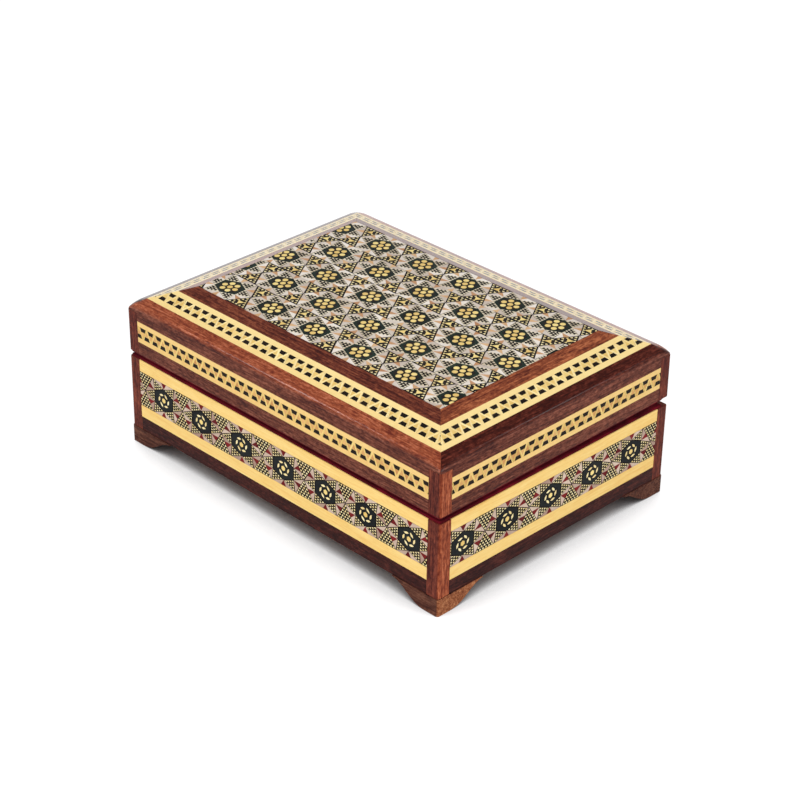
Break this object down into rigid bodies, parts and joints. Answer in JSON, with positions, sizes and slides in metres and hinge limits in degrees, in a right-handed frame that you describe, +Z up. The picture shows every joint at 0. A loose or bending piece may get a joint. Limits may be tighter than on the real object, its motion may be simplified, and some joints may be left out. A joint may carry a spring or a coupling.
{
  "type": "hinged marquetry box",
  "caption": "Hinged wooden box with mosaic marquetry panels, light and dark banding, a mitred sloping lid frame, bracket feet and a velvet lining.",
  "frame": {"origin": "centre of the box on the floor plane under its feet", "axes": "+X along the long side, to the right seen from the front; -Y is the front, where the lid opens; +Y is the hinge side; +Z is up"},
  "size_m": [0.1504, 0.1094, 0.0617],
  "materials": {
    "rosewood": "varnished",
    "post_wood": "varnished",
    "foot_wood": "satin",
    "light_wood": "varnished",
    "banding": "varnished",
    "mosaic": "varnished",
    "dark_inlay": "varnished",
    "carcass_wood": "plain",
    "velvet": "pile",
    "brass": "polished"
  },
  "bodies": {
    "base": {"base_wall_front": "carcass_wood", "base_wall_right": "carcass_wood", "base_wall_back": "carcass_wood", "base_wall_left": "carcass_wood", "base_floor": "carcass_wood", "base_post_front_left": "post_wood", "base_post_front_right": "post_wood", "base_post_back_right": "post_wood", "base_post_back_left": "post_wood", "foot_front_left": "foot_wood", "foot_front_right": "foot_wood", "foot_back_right": "foot_wood", "foot_back_left": "foot_wood", "plinth_front": "rosewood", "plinth_right": "rosewood", "plinth_back": "rosewood", "plinth_left": "rosewood", "light_strips_front": "light_wood", "light_strips_right": "light_wood", "light_strips_back": "light_wood", "light_strips_left": "light_wood", "mosaic_front": "mosaic", "mosaic_right": "mosaic", "mosaic_back": "mosaic", "mosaic_left": "mosaic", "panel_stars": "dark_inlay", "base_lining": "velvet", "floor_pad": "velvet", "hinge_leaves_lower": "brass", "hinge_pins": "brass", "base_nails": "brass"},
    "lid": {"lid_frame_front": "rosewood", "lid_frame_right": "rosewood", "lid_frame_back": "rosewood", "lid_frame_left": "rosewood", "lid_post_front_left": "post_wood", "lid_post_front_right": "post_wood", "lid_post_back_right": "post_wood", "lid_post_back_left": "post_wood", "side_band_front": "banding", "side_band_right": "banding", "side_band_back": "banding", "side_band_left": "banding", "lid_board": "carcass_wood", "top_band_front": "banding", "top_band_right": "banding", "top_band_back": "banding", "top_band_left": "banding", "top_border_front": "rosewood", "top_border_right": "rosewood", "top_border_back": "rosewood", "top_border_left": "rosewood", "side_band_chips": "dark_inlay", "top_band_chips": "dark_inlay", "field_stars": "dark_inlay", "mosaic_top": "mosaic", "lid_lining": "velvet", "ceiling_pad": "velvet", "hinge_leaves_upper": "brass", "lid_nails": "brass"}
  },
  "joints": [
    {"name": "lid_hinge", "type": "hinge", "parent": "base", "child": "lid", "pos_m": [0, 0.05315, 0.03565], "axis": [-1, 0, 0], "range_deg": [0, 100]}
  ]
}
